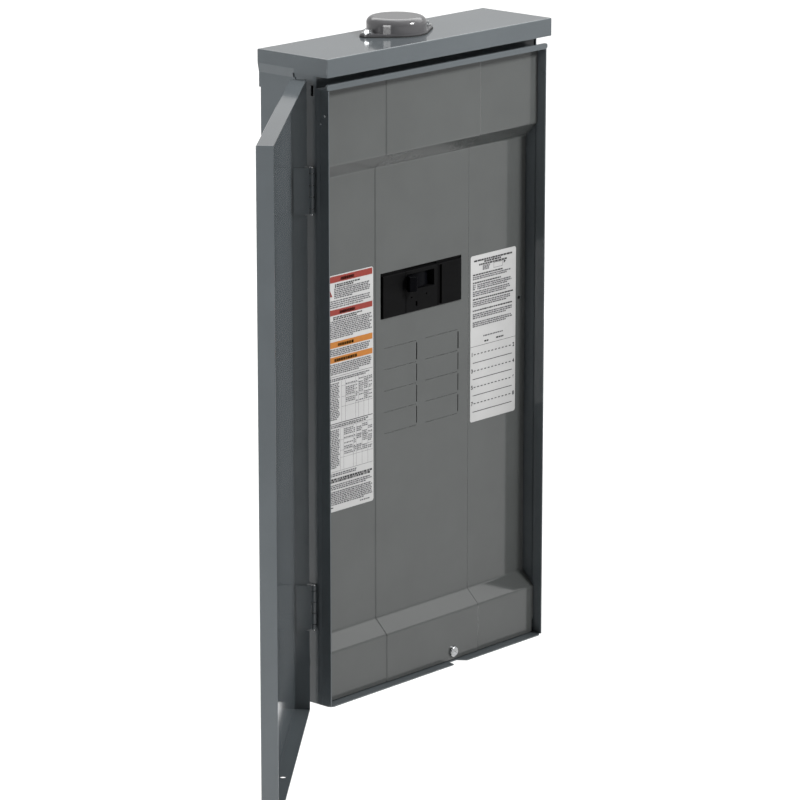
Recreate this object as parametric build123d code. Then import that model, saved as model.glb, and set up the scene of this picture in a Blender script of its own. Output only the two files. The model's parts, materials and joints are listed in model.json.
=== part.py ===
from build123d import *
import os
from math import acos, cos, radians, sin

# Outdoor residential load center: a rainproof steel panel with a side-hinged door, eight
# breaker spaces behind a dead-front cover, a main breaker and feed-through lugs.
# Millimetres. X runs across the panel, the door opens towards -Y and the wall is at Y = 0.
# The origin is the centre of the back panel's outer face.

# ---- driving dimensions -------------------------------------------------------------
SHEET = 1.5            # enclosure steel
THIN_SHEET = 1.2       # door and dead-front steel
BOX_WIDTH = 375.0      # over the side walls
JAMB_WIDTH = 372.0     # over the joggled front strip that the closed door overlaps
JAMB_DEPTH = 13.0      # how far that strip reaches back from the front edge
JOGGLE_RUN = 3.5       # depth over which the wall steps in to that strip
BOX_DEPTH = 104.0      # back panel to the front edge of the side walls
BACK_HEIGHT = 754.0    # height of the back panel
BOTTOM = -BACK_HEIGHT / 2
FOLD = 1.5             # outside radius of a folded corner

LIP_LOW = BOTTOM + 719.0      # underside of the drip rail across the top of the opening
LIP_HIGH = BOTTOM + 725.7     # top of the drip rail
RAIL_WIDTH = 375.4
RECESS_FRONT = -87.0          # the walls above the drip rail stop here
JAMB_HOLES = ((-98.4, BOTTOM + 690.0), (-92.6, BOTTOM + 681.0))    # y and z, left wall
JAMB_HOLE_RADIUS = 1.3
DIMPLE = (-98.4, BOTTOM + 690.0)    # small bump pressed into the right wall
DIMPLE_RADIUS = 2.2
DIMPLE_DEPTH = 1.6
WALL_SLOT = (-82.5, -78.5, BOTTOM + 711.0, BOTTOM + 723.0)    # y and z of a slot in each wall
FLANGE_HIGH = BOTTOM + 16.0   # top of the bottom wall's spot-weld flanges

HOOD_WIDTH = 382.5
HOOD_FRONT = -107.5
HOOD_TOP = BOTTOM + 755.5
HOOD_SKIRT_FRONT = BOTTOM + 734.5
HOOD_SKIRT_REAR = BOTTOM + 712.0
HOOD_REAR_LENGTH = 56.0
HOOD_CORNER = 1.5             # outside radius of the folded front corners and top edges
JOGGLE_HIGH = BOTTOM + 739.5
JOGGLE_LOW = BOTTOM + 729.0

HUB_X = -6.8                  # centre of the conduit hub opening in the hood
HUB_Y = -42.3
HUB_OPENING_RADIUS = 30.0
HUB_TURN = -6.0               # the closing cap sits a little turned on its slots
HUB_SCREW_REACH = 43.5
HUB_SCREW_RADIUS = 3.0
HUB_EAR_RADIUS = 9.0
HUB_PLATE_RADIUS = 36.0
HUB_DOME_RADIUS = 34.8
HUB_DOME_HEIGHT = 15.8
HUB_GASKET = 1.4
HUB_PLATE = 2.4
SIDE_KNOCKOUT = (-46.0, BOTTOM + 49.0)

COVER_WIDTH = 368.0
COVER_RAISED = -93.2          # front plane of the raised top and bottom of the dead front
COVER_RECESSED = -75.6        # front plane of its middle
COVER_LOW = BOTTOM + 2.6
COVER_HIGH = BOTTOM + 717.6
COVER_SLOPES = (BOTTOM + 60.3, BOTTOM + 77.2, BOTTOM + 612.6, BOTTOM + 630.2)
CREASE_LEFT = -78.1
CREASE_RIGHT = 81.4
CREASE_RUN = 1.6              # width of the slope at each crease
COVER_FOLD = 4.0              # radius of the pressed folds across the cover
CREASE_STEP = 0.8             # the outer panels lie this much behind the centre panel
COVER_SCREW_X = 37.2
COVER_SCREW_Z = BOTTOM + 12.2
COVER_HOLE_X = 173.2          # small spare hole near the cover's right edge
COVER_HOLE_Z = BOTTOM + 417.9
COVER_HOLE_RADIUS = 2.2

LIP_CORNER = 6.5              # radius of the bottom sheet's corners
NOTCH_X = 35.0                # notch in the bottom lip, in line with the padlock hole
NOTCH_WIDTH = 14.0            # at its rear
NOTCH_DEPTH = 9.6
NOTCH_FLARE = 8.5             # how much its right side spreads towards the front
PADLOCK_X = 40.0
PADLOCK_RADIUS = 3.5

WINDOW_LEFT = -70.4
WINDOW_RIGHT = 69.0
WINDOW_LOW = BOTTOM + 433.8
WINDOW_HIGH = BOTTOM + 487.6
WINDOW_GAP = 1.6              # beside the right filler
WINDOW_GAP_LEFT = 2.4
PLUG_LOW = WINDOW_LOW + 0.5   # the fillers and the escutcheon sit low in the window
PLUG_HIGH = WINDOW_HIGH - 3.6
WINDOW_PROUD = 2.0            # how far they stand out of the cover

BREAKER_PITCH = 25.4          # one branch breaker space
TWISTOUT_ROWS = 4
TWISTOUT_TOP = BOTTOM + 398.5
TWISTOUT_LEFT = (-65.2, -8.6)
TWISTOUT_RIGHT = (5.2, 63.7)
SLIT = 0.4                    # sheared lines above and below the twistouts
WIDE_SLIT = 1.3               # the line along the right side of each column
TOP_WIDE_SLIT = 1.8           # the same beside the top row
TIE = 2.5

DOOR_LEFT = -191.7
DOOR_RIGHT = 189.9
DOOR_FACE = -106.8            # outer face of the closed door
DOOR_DEPTH = 18.5
DOOR_LOW = BOTTOM - 6.2
DOOR_HIGH = BOTTOM + 730.6
DOOR_EDGE = 1.2               # outside radius of the pressed edges
DOOR_OPEN_ANGLE = 141.4       # how far the door stands open at rest

HINGE_X = -191.2
HINGE_Y = -83.0
HINGE_CENTRES = (BOTTOM + 604.5, BOTTOM + 118.0)
HINGE_HEIGHT = 53.0
KNUCKLES = (6.5, 13.5, 13.0, 13.5, 6.5)
KNUCKLE_GAP = 0.8
KNUCKLE_RADIUS = 3.0
PIN_RADIUS = 1.6
PIN_CLEARANCE = 0.05
LEAF = 1.5
DOOR_LEAF_REACH = 20.3        # pin to the far edge of the door's leaf

MAIN_LEFT = -29.2             # escutcheon of the main breaker in the window
MAIN_RIGHT = 26.0
MAIN_BODY_LEFT = -46.0        # moulded case behind the cover
MAIN_BODY_RIGHT = 38.0
MAIN_BODY_FRONT = -72.6
MAIN_BODY_SPLIT = -52.0       # joint between the case's front and rear halves
MAIN_BODY_LOW = BOTTOM + 440.0
MAIN_BODY_HIGH = BOTTOM + 526.0
FILLER_GROOVE = 5.5           # upright groove beside the escutcheon in the right filler
FILLER_GROOVE_DEPTH = 2.6
BODY_GAP = 0.3                # between neighbouring mouldings in the window
HANDLE_PIVOT_X = -4.0
HANDLE_PIVOT_Y = -39.6
HANDLE_RADIUS = 36.2          # of the barrel that closes the handle's slot
HANDLE_ARC = 68.0             # half the barrel's arc, in degrees
HANDLE_HALF_THROW = 26.0      # degrees to each side of the middle
HANDLE_HALF_HEIGHT = 8.7
HANDLE_HEAD_HALF_HEIGHT = 9.3
HANDLE_SLOT = 23.5            # half the width of the slot
HANDLE_STEM = 4.0             # half the toggle's thickness in the slot and at its head
HANDLE_HEAD = 5.2
HANDLE_HEAD_START = 46.0      # pivot to the head's inner end and to the toggle's tip
HANDLE_REACH = 54.0
HANDLE_Z = BOTTOM + 470.0
HANDLE_PIN_RADIUS = 2.0

PAN_WIDTH = 150.0             # interior mounting pan
PAN_LOW = BOTTOM + 175.0
PAN_HIGH = BOTTOM + 560.0
PAN_FACE = -14.0
BUS_FACE = -24.0              # back of the bus bars
BUS_THICKNESS = 3.0
BUS_INNER = 12.0              # inner edges of the two bus bars
BUS_OUTER = 32.0
BUS_LOW = BOTTOM + 220.0
BUS_HIGH = BOTTOM + 432.0
NEUTRAL_X = 100.0
NEUTRAL_SIZE = 12.0
NEUTRAL_LOW = BOTTOM + 270.0
NEUTRAL_HIGH = BOTTOM + 470.0
NEUTRAL_WAYS = 13
NEUTRAL_FACE = -30.0
STRAP_HEIGHT = 16.0           # of the flat bar that joins the neutral bars
LUG_WIDTH = 24.0
LUG_DEPTH = 26.0
LUG_HEIGHT = 30.0
LUG_WIRE_RADIUS = 8.0
LUG_SCREW_LENGTH = 6.6        # stops short of the wire hole

LABEL_THICKNESS = 0.3
LABEL_WIDTH = 81.0
LEFT_LABEL_X = -163.2
RIGHT_LABEL_X = 86.2
LEFT_LABEL_LOW = BOTTOM + 221.0
LEFT_LABEL_HIGH = BOTTOM + 499.0
RIGHT_LABEL_LOW = BOTTOM + 280.3
RIGHT_LABEL_HIGH = BOTTOM + 481.7

WALL_HOLE_X = 127.0
WALL_HOLE_LOW = BOTTOM + 60.0
WALL_HOLE_HIGH = BOTTOM + 694.0
WALL_HOLE_RADIUS = 3.6
BACK_KNOCKOUT_X = 60.0
CLEARANCE = 0.1


# ---- helpers ------------------------------------------------------------------------
def block(x0, x1, y0, y1, z0, z1):
    centre = Pos((x0 + x1) / 2, (y0 + y1) / 2, (z0 + z1) / 2)
    return centre * Box(abs(x1 - x0), abs(y1 - y0), abs(z1 - z0))


def rod_x(x0, x1, y, z, radius):
    return Pos((x0 + x1) / 2, y, z) * Rot(0, 90, 0) * Cylinder(radius, abs(x1 - x0))


def rod_y(x, y0, y1, z, radius):
    return Pos(x, (y0 + y1) / 2, z) * Rot(90, 0, 0) * Cylinder(radius, abs(y1 - y0))


def rod_z(x, y, z0, z1, radius):
    return Pos(x, y, (z0 + z1) / 2) * Cylinder(radius, abs(z1 - z0))


def rounded(solid, axis, radius):
    return fillet(solid.edges().filter_by(axis), radius)


def save(solid, name):
    solid.label = name
    export_step(solid, os.path.join("parts", name + ".step"))


def open_door(solid):
    """Swing a piece of the closed door to its rest position about the hinge line."""
    line = Axis((HINGE_X, HINGE_Y, 0), (0, 0, 1))
    return solid.rotate(line, -DOOR_OPEN_ANGLE)


def knockout(radius, thickness):
    """Ring slit around a punched disc on the XY plane, with two ties left in it."""
    ring = Cylinder(radius, thickness * 3) - Cylinder(radius - 0.5, thickness * 3)
    ties = Box(radius * 2.2, 3.0, thickness * 3)
    return ring - ties


def round_head(radius, height):
    """Low domed screw head on the XY plane, rising along +Z."""
    head = Pos(0, 0, height / 2) * Cylinder(radius, height)
    return fillet(head.edges().group_by(Axis.Z)[-1], height * 0.6)


def hexagon_head(corner_radius, height):
    """Hexagon head with a shallow screwdriver slot."""
    head = extrude(RegularPolygon(corner_radius, 6), amount=height)
    return head - Pos(0, 0, height) * Box(14, 1.2, 2.2)


# ---- enclosure ----------------------------------------------------------------------
def box_wrap():
    """Back and side walls folded from one sheet, with the joggled front strip."""
    half = BOX_WIDTH / 2
    jamb = JAMB_WIDTH / 2
    joggle_y = JAMB_DEPTH - BOX_DEPTH
    outline = Polyline(
        (-half, 0), (-half, joggle_y + JOGGLE_RUN), (-jamb, joggle_y), (-jamb, -BOX_DEPTH),
        (-jamb + SHEET, -BOX_DEPTH), (-jamb + SHEET, joggle_y + 0.2),
        (-half + SHEET, joggle_y + JOGGLE_RUN + 0.2), (-half + SHEET, -SHEET),
        (half - SHEET, -SHEET), (half - SHEET, joggle_y + JOGGLE_RUN + 0.2),
        (jamb - SHEET, joggle_y + 0.2), (jamb - SHEET, -BOX_DEPTH), (jamb, -BOX_DEPTH),
        (jamb, joggle_y), (half, joggle_y + JOGGLE_RUN), (half, 0), close=True)
    wall = Pos(0, 0, BOTTOM + SHEET) * extrude(make_face(outline), amount=BACK_HEIGHT - SHEET)
    long_edges = wall.edges().filter_by(Axis.Z)
    outer_folds = long_edges.filter_by_position(Axis.Y, -0.1, 0.1)
    wall = fillet(outer_folds, FOLD)
    wall -= block(-half - 1, half + 1, RECESS_FRONT, -BOX_DEPTH - 1, LIP_LOW - 0.3, HOOD_TOP)
    for side in (-1, 1):
        inner = side * (jamb - SHEET)
        wall -= block(inner - side, side * (half + 1), *WALL_SLOT)
        for radius in (27.0, 21.5, 17.0):
            turn = Pos(side * half, *SIDE_KNOCKOUT) * Rot(0, 90, 0)
            wall -= turn * knockout(radius, SHEET)
    for y, z in JAMB_HOLES:
        wall -= rod_x(-half - 1, -jamb + SHEET + 1, y, z, JAMB_HOLE_RADIUS)
    wall += rod_x(jamb - SHEET, jamb - SHEET - DIMPLE_DEPTH, *DIMPLE, DIMPLE_RADIUS)
    wall -= rod_x(jamb + 1, jamb - SHEET, *DIMPLE, DIMPLE_RADIUS - 1.0)
    for x in (-WALL_HOLE_X, WALL_HOLE_X):
        for z in (WALL_HOLE_LOW, WALL_HOLE_HIGH):
            wall -= rod_y(x, 1, -SHEET - 1, z, WALL_HOLE_RADIUS)
    for x, z in pan_screw_places():
        wall -= rod_y(x, 1, -SHEET - 1, z, 2.0 + CLEARANCE)
    for x in (-BACK_KNOCKOUT_X, BACK_KNOCKOUT_X):
        wall -= Pos(x, 0, WALL_HOLE_LOW) * Rot(90, 0, 0) * knockout(22.0, SHEET)
    return wall


def bottom_end_wall():
    """Bottom sheet that runs forward as a lip, with spot-weld flanges turned up inside."""
    half = JAMB_WIDTH / 2
    inner = BOX_WIDTH / 2 - SHEET - CLEARANCE
    sheet = block(-half, half, 0, -BOX_DEPTH - 0.3, BOTTOM, BOTTOM + SHEET)
    sheet = rounded(sheet, Axis.Z, LIP_CORNER)
    sheet += block(-inner + 6, inner - 6, -SHEET - CLEARANCE, -2 * SHEET, BOTTOM, FLANGE_HIGH)
    for side in (-1, 1):
        sheet += block(side * inner, side * (inner - SHEET), -8, -82, BOTTOM, FLANGE_HIGH)
    tab_back = COVER_RAISED + THIN_SHEET + CREASE_STEP + 0.4
    sheet += block(COVER_SCREW_X - 16, COVER_SCREW_X + 16, tab_back, tab_back + SHEET,
                   BOTTOM, FLANGE_HIGH + 6)
    sheet -= rod_y(COVER_SCREW_X, tab_back - 1, tab_back + SHEET + 1, COVER_SCREW_Z, 2.5)
    left = NOTCH_X - NOTCH_WIDTH / 2
    right = NOTCH_X + NOTCH_WIDTH / 2
    rear = NOTCH_DEPTH - BOX_DEPTH
    outline = Polyline((left, rear), (right, rear), (right + NOTCH_FLARE, -BOX_DEPTH - 1),
                       (left - 2.0, -BOX_DEPTH - 1), close=True)
    mouth = Pos(0, 0, BOTTOM - 1) * extrude(make_face(outline), amount=SHEET + 2)
    sheet -= fillet(mouth.edges().filter_by(Axis.Z).group_by(Axis.Y)[-1], 3.0)
    for x, radii in ((-110.0, (22.0, 14.0)), (0.0, (30.0, 24.0, 17.0)), (110.0, (22.0, 14.0))):
        for radius in radii:
            sheet -= Pos(x, SIDE_KNOCKOUT[0], BOTTOM + SHEET / 2) * knockout(radius, SHEET)
    return sheet


def rain_hood():
    """Top end wall pressed as a shallow tray, with skirts that shed rain past the door."""
    half = HOOD_WIDTH / 2
    wall_half = BOX_WIDTH / 2 + CLEARANCE
    shell = block(-half, half, 0, HOOD_FRONT, HOOD_SKIRT_FRONT, HOOD_TOP)
    shell = fillet(shell.edges().filter_by(Axis.Z).group_by(Axis.Y)[0], HOOD_CORNER)
    shell = fillet(shell.edges().group_by(Axis.Z)[-1], HOOD_CORNER - 0.1)
    shell -= block(-half + SHEET, half - SHEET, 1, HOOD_FRONT + SHEET,
                   HOOD_SKIRT_FRONT - 1, HOOD_TOP - SHEET)
    for side in (-1, 1):
        shell -= block(side * (half + 1), side * (half - SHEET - 1), 1, -HOOD_REAR_LENGTH,
                       HOOD_SKIRT_FRONT - 1, JOGGLE_HIGH)
        outline = Polyline(
            (side * half, JOGGLE_HIGH), (side * (half - SHEET), JOGGLE_HIGH),
            (side * wall_half, JOGGLE_LOW), (side * wall_half, HOOD_SKIRT_REAR),
            (side * (wall_half + SHEET), HOOD_SKIRT_REAR),
            (side * (wall_half + SHEET), JOGGLE_LOW), close=True)
        face = Plane.XZ * make_face(outline)
        shell += extrude(face, amount=HOOD_REAR_LENGTH)
        shell -= block(side * (half + 1), side * (wall_half - 1), -HOOD_REAR_LENGTH - 1,
                       -HOOD_REAR_LENGTH + 2.5, JOGGLE_LOW, HOOD_SKIRT_FRONT)
    shell -= rod_z(HUB_X, HUB_Y, HOOD_TOP - 4, HOOD_TOP + 1, HUB_OPENING_RADIUS)
    for x, y in hub_screw_places():
        shell -= rod_z(x, y, HOOD_TOP - 4, HOOD_TOP + 1, HUB_SCREW_RADIUS + CLEARANCE)
    return shell


def drip_rail():
    """Gutter across the top of the opening: front hem, floor and a wall up to the hood."""
    half = RAIL_WIDTH / 2
    inner = JAMB_WIDTH / 2 - SHEET - CLEARANCE
    hem = block(-half, half, -BOX_DEPTH, -BOX_DEPTH + 3.0, LIP_LOW, LIP_HIGH)
    hem = rounded(hem, Axis.Y, 2.8)
    floor = block(-half, half, -BOX_DEPTH + 1.5, RECESS_FRONT + 2 * SHEET,
                  LIP_LOW, LIP_LOW + SHEET)
    wall = block(-inner, inner, RECESS_FRONT + SHEET, RECESS_FRONT + 2 * SHEET,
                 LIP_LOW, HOOD_TOP - SHEET)
    notch = block(-inner, -half - 1, RECESS_FRONT - 0.2, 0, LIP_LOW - 1, HOOD_TOP)
    return hem + floor + wall - notch - mirror(notch, Plane.YZ)


# ---- conduit hub closing cap --------------------------------------------------------
def hub_frame():
    return Pos(HUB_X, HUB_Y, HOOD_TOP) * Rot(0, 0, HUB_TURN)


def hub_screw_places():
    dx = HUB_SCREW_REACH * cos(radians(HUB_TURN))
    dy = HUB_SCREW_REACH * sin(radians(HUB_TURN))
    return ((HUB_X - dx, HUB_Y - dy), (HUB_X + dx, HUB_Y + dy))


def hub_outline(grow, height):
    """Round plate that runs straight into two ears, grown outward by a margin."""
    plate_radius = HUB_PLATE_RADIUS + grow
    ear_radius = HUB_EAR_RADIUS + grow
    tangent = acos((plate_radius - ear_radius) / HUB_SCREW_REACH)
    x0 = plate_radius * cos(tangent)
    y0 = plate_radius * sin(tangent)
    x1 = HUB_SCREW_REACH + ear_radius * cos(tangent)
    y1 = ear_radius * sin(tangent)
    outline = Polyline((x0, y0), (x1, y1), (x1, -y1), (x0, -y0), (-x0, -y0), (-x1, -y1),
                       (-x1, y1), (-x0, y0), close=True)
    plate = extrude(make_face(outline), amount=height)
    plate += Pos(0, 0, height / 2) * Cylinder(plate_radius, height)
    for side in (-1, 1):
        plate += Pos(side * HUB_SCREW_REACH, 0, height / 2) * Cylinder(ear_radius, height)
    return plate


def hub_gasket():
    ring = hub_outline(0.6, HUB_GASKET)
    ring -= Cylinder(HUB_OPENING_RADIUS, 6)
    for side in (-1, 1):
        ring -= Pos(side * HUB_SCREW_REACH, 0, 0) * Cylinder(HUB_SCREW_RADIUS + 0.2, 6)
    return hub_frame() * ring


def hub_closing_cap():
    """Die-cast dome on a plate with two ears, open below."""
    wall = 2.8
    dome_low = HUB_GASKET + HUB_PLATE
    cap = Pos(0, 0, HUB_GASKET) * hub_outline(0.0, HUB_PLATE)
    dome = Pos(0, 0, dome_low + HUB_DOME_HEIGHT / 2) * Cylinder(HUB_DOME_RADIUS, HUB_DOME_HEIGHT)
    dome = fillet(dome.edges().group_by(Axis.Z)[-1], 8.0)
    roof = dome_low + HUB_DOME_HEIGHT - wall
    hollow = Pos(0, 0, roof / 2) * Cylinder(HUB_DOME_RADIUS - wall, roof)
    hollow = fillet(hollow.edges().group_by(Axis.Z)[-1], 8.0 - wall)
    cap = cap + dome - hollow
    for side in (-1, 1):
        cap -= Pos(side * HUB_SCREW_REACH, 0, 0) * Cylinder(HUB_SCREW_RADIUS + 0.2, 12)
    return hub_frame() * cap


def hub_cap_screws():
    seat = HUB_GASKET + HUB_PLATE
    screws = []
    for side in (-1, 1):
        head = Pos(0, 0, seat) * hexagon_head(5.4, 4.6)
        washer = Pos(0, 0, seat + 0.6) * Cylinder(7.4, 1.2)
        shank = Pos(0, 0, -1.0) * Cylinder(HUB_SCREW_RADIUS, 10.0)
        screws.append(hub_frame() * Pos(side * HUB_SCREW_REACH, 0, 0) * (head + washer + shank))
    return Compound(children=screws)


# ---- door and hinges ----------------------------------------------------------------
def door_pan():
    """Pressed door with flanges all round, in its closed position."""
    rear = DOOR_FACE + DOOR_DEPTH
    pan = block(DOOR_LEFT, DOOR_RIGHT, DOOR_FACE, rear, DOOR_LOW, DOOR_HIGH)
    pan = fillet(pan.edges().group_by(Axis.Y)[0], DOOR_EDGE)
    pan = fillet(pan.edges().filter_by(Axis.Y), DOOR_EDGE - 0.1)
    pan -= block(DOOR_LEFT + THIN_SHEET, DOOR_RIGHT - THIN_SHEET, DOOR_FACE + THIN_SHEET,
                 rear + 1, DOOR_LOW + THIN_SHEET, DOOR_HIGH - THIN_SHEET)
    for centre in HINGE_CENTRES:
        half = HINGE_HEIGHT / 2 + 2.0
        pan -= block(DOOR_LEFT - 1, DOOR_LEFT + THIN_SHEET + 1, -91.0, rear + 1,
                     centre - half, centre + half)
    pan -= rod_z(PADLOCK_X, -98.0, DOOR_LOW - 1, DOOR_LOW + 3, PADLOCK_RADIUS)
    return pan


def knuckle_spans(centre):
    """Height ranges of the five knuckles of a hinge, from the top down."""
    spans = []
    top = centre + HINGE_HEIGHT / 2
    for height in KNUCKLES:
        spans.append((top - height + KNUCKLE_GAP / 2, top - KNUCKLE_GAP / 2))
        top -= height
    return spans


def hinge_leaf(centre, plate, own, other):
    """Leaf plate rolled around the pin at its own knuckles and cut clear of the others."""
    spans = knuckle_spans(centre)
    leaf = plate
    for index in other:
        low, high = spans[index]
        leaf -= rod_z(HINGE_X, HINGE_Y, low - KNUCKLE_GAP, high + KNUCKLE_GAP,
                      KNUCKLE_RADIUS + 0.6)
    for index in own:
        low, high = spans[index]
        leaf += rod_z(HINGE_X, HINGE_Y, low, high, KNUCKLE_RADIUS)
    bore = PIN_RADIUS + PIN_CLEARANCE
    return leaf - rod_z(HINGE_X, HINGE_Y, centre - 40, centre + 40, bore)


def hinge_box_leaf(centre):
    wall = -BOX_WIDTH / 2
    half = HINGE_HEIGHT / 2
    plate = block(wall - LEAF, wall, HINGE_Y, HINGE_Y + 27, centre - half, centre + half)
    plate = fillet(plate.edges().filter_by(Axis.X).group_by(Axis.Y)[-1], 3.0)
    return hinge_leaf(centre, plate, (0, 2, 4), (1, 3))


def hinge_door_leaf(centre):
    inner = DOOR_LEFT + THIN_SHEET
    half = HINGE_HEIGHT / 2
    plate = block(inner, inner + LEAF, HINGE_Y - DOOR_LEAF_REACH, HINGE_Y, centre - half, centre + half)
    near_pin = plate.edges().filter_by(Axis.X).group_by(Axis.Y)[-1]
    plate = chamfer(near_pin, 4.0)
    return hinge_leaf(centre, plate, (1, 3), (0, 2, 4))


def hinge_pin(centre):
    half = HINGE_HEIGHT / 2
    pin = rod_z(HINGE_X, HINGE_Y, centre - half - 1.2, centre + half, PIN_RADIUS)
    head = Pos(HINGE_X, HINGE_Y, centre + half) * round_head(2.6, 1.6)
    return pin + head


# ---- dead front ---------------------------------------------------------------------
def cover_profile(step):
    """Cross-section of the cover on the YZ plane, set back by a step, with rounded folds."""
    z0, z1, z2, z3 = COVER_SLOPES
    raised = COVER_RAISED + step
    recessed = COVER_RECESSED + step
    front = ((raised, COVER_LOW), (raised, z0), (recessed, z1), (recessed, z2),
             (raised, z3), (raised, COVER_HIGH))
    rear = [(y + THIN_SHEET, z) for y, z in reversed(front)]
    section = make_face(Polyline(*front, *rear, close=True))
    folds = section.vertices().filter_by_position(Axis.Y, z0 - 1, z3 + 1)
    return Plane.YZ * fillet(folds, COVER_FOLD)


def cover_sheet():
    """Centre panel and two outer panels, joined by the narrow slope of each crease."""
    half = COVER_WIDTH / 2
    centre = cover_profile(0.0)
    outer = cover_profile(CREASE_STEP)
    sheet = Pos(CREASE_LEFT, 0, 0) * extrude(centre, amount=CREASE_RIGHT - CREASE_LEFT)
    run = (CREASE_RUN ** 2 + CREASE_STEP ** 2) ** 0.5
    for side, crease in ((-1, CREASE_LEFT), (1, CREASE_RIGHT)):
        slope = extrude(centre, amount=run, dir=(side * CREASE_RUN, CREASE_STEP, 0))
        sheet += Pos(crease, 0, 0) * slope
        start = crease + side * CREASE_RUN
        panel = extrude(outer, amount=half - abs(start), dir=(side, 0, 0))
        sheet += Pos(start, 0, 0) * panel
    return sheet


def twistout_slits(x0, x1):
    """Slits around a column of twistouts, broken by the ties that hold each one."""
    slits = []
    y0 = COVER_RECESSED - 1
    y1 = COVER_RECESSED + THIN_SHEET + 1
    span = x1 - x0
    for row in range(TWISTOUT_ROWS + 1):
        z = TWISTOUT_TOP - row * BREAKER_PITCH
        for low, high in ((0.0, 0.3), (0.3, 0.7), (0.7, 1.0)):
            slits.append(block(x0 + span * low + TIE / 2, x0 + span * high - TIE / 2,
                               y0, y1, z - SLIT / 2, z + SLIT / 2))
    for row in range(TWISTOUT_ROWS):
        top = TWISTOUT_TOP - row * BREAKER_PITCH
        width = WIDE_SLIT if row > 0 else TOP_WIDE_SLIT
        slits.append(block(x1 - width / 2, x1 + width / 2, y0, y1,
                           top - BREAKER_PITCH + TIE, top - TIE))
    return slits


def dead_front():
    cover = cover_sheet()
    cover -= block(WINDOW_LEFT, WINDOW_RIGHT, COVER_RECESSED - 2, COVER_RECESSED + 4,
                   WINDOW_LOW, WINDOW_HIGH)
    for slit in twistout_slits(*TWISTOUT_LEFT) + twistout_slits(*TWISTOUT_RIGHT):
        cover -= slit
    cover -= rod_y(COVER_SCREW_X, COVER_RAISED - 2, COVER_RAISED + 4, COVER_SCREW_Z, 3.0)
    cover -= rod_y(COVER_HOLE_X, COVER_RECESSED - 2, COVER_RECESSED + 4, COVER_HOLE_Z,
                   COVER_HOLE_RADIUS)
    edge = COVER_WIDTH / 2
    for side in (-1, 1):
        cover -= block(side * (edge - 2.5), side * (edge + 1), COVER_RAISED - 2,
                       COVER_RAISED + 4, COVER_LOW - 1, COVER_LOW + 16.0)
    return cover


def dead_front_screw():
    head_back = COVER_RAISED
    head = Pos(COVER_SCREW_X, head_back, COVER_SCREW_Z) * Rot(90, 0, 0) * round_head(6.6, 3.2)
    slot = Pos(COVER_SCREW_X, head_back - 3.2, COVER_SCREW_Z) * Rot(0, 35, 0) * Box(16, 2.4, 1.3)
    shank = rod_y(COVER_SCREW_X, head_back, head_back + 14, COVER_SCREW_Z, 2.4)
    return head + shank - slot


def window_filler(x0, x1):
    """Moulded plug that closes the window beside the main breaker, clipped behind the sheet."""
    face = COVER_RECESSED - WINDOW_PROUD
    rear = COVER_RECESSED + THIN_SHEET + 1.2
    low = PLUG_LOW
    high = PLUG_HIGH
    plug = block(x0, x1, face, rear, low, high)
    plug = fillet(plug.edges().group_by(Axis.Y)[0], 0.8)
    plug += block(x0, x1, COVER_RECESSED + THIN_SHEET + CLEARANCE, rear,
                  WINDOW_LOW - 3.0, WINDOW_HIGH + 3.0)
    wall = 2.0
    return plug - block(x0 + wall, x1 - wall, face + wall, rear + 1, low + wall, high - wall)


def right_filler():
    """The right plug has an upright groove beside the escutcheon."""
    x0 = MAIN_RIGHT + BODY_GAP
    plug = window_filler(x0, WINDOW_RIGHT - WINDOW_GAP)
    face = COVER_RECESSED - WINDOW_PROUD
    backing = block(x0 + 1.0, x0 + FILLER_GROOVE + 3.0, face + 1.0,
                    COVER_RECESSED + THIN_SHEET + 1.2, PLUG_LOW + 1.0, PLUG_HIGH - 1.0)
    groove = block(x0 + 1.0, x0 + 1.0 + FILLER_GROOVE, face - 1, face + FILLER_GROOVE_DEPTH,
                   PLUG_LOW + 1.6, PLUG_HIGH - 1.6)
    return plug + backing - groove


# ---- main breaker -------------------------------------------------------------------
def handle_cavity():
    """Room for the barrel to turn in, in front of the pivot, with the slot in the face."""
    height = HANDLE_HALF_HEIGHT + 1.0
    cavity = rod_z(HANDLE_PIVOT_X, HANDLE_PIVOT_Y, HANDLE_Z - height, HANDLE_Z + height,
                   HANDLE_RADIUS + 0.4)
    cavity -= block(-80, 80, HANDLE_PIVOT_Y + 5.0, 0, HANDLE_Z - 20, HANDLE_Z + 20)
    slot = block(HANDLE_PIVOT_X - HANDLE_SLOT, HANDLE_PIVOT_X + HANDLE_SLOT,
                 COVER_RECESSED - WINDOW_PROUD - 1, HANDLE_PIVOT_Y - 20.0,
                 HANDLE_Z - height, HANDLE_Z + height)
    return cavity + slot


def main_breaker_cover():
    """Front half of the moulded case: the escutcheon in the window and the body behind it."""
    face = COVER_RECESSED - WINDOW_PROUD
    nose = block(MAIN_LEFT, MAIN_RIGHT, face, MAIN_BODY_FRONT + 2, PLUG_LOW, PLUG_HIGH)
    nose = fillet(nose.edges().group_by(Axis.Y)[0], 0.8)
    body = block(MAIN_BODY_LEFT, MAIN_BODY_RIGHT, MAIN_BODY_FRONT, MAIN_BODY_SPLIT,
                 MAIN_BODY_LOW - 12.0, MAIN_BODY_HIGH)
    body = rounded(body, Axis.Y, 3.0)
    case = nose + body - handle_cavity()
    for x, z in ((-19.2, BOTTOM + 451.5), (6.2, BOTTOM + 452.1)):
        case -= rod_y(x, face - 1, face + 4, z, 1.2)
    case -= block(-12.5, -9.5, face - 1, face + 3, BOTTOM + 440.0, BOTTOM + 446.0)
    return case


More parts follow.
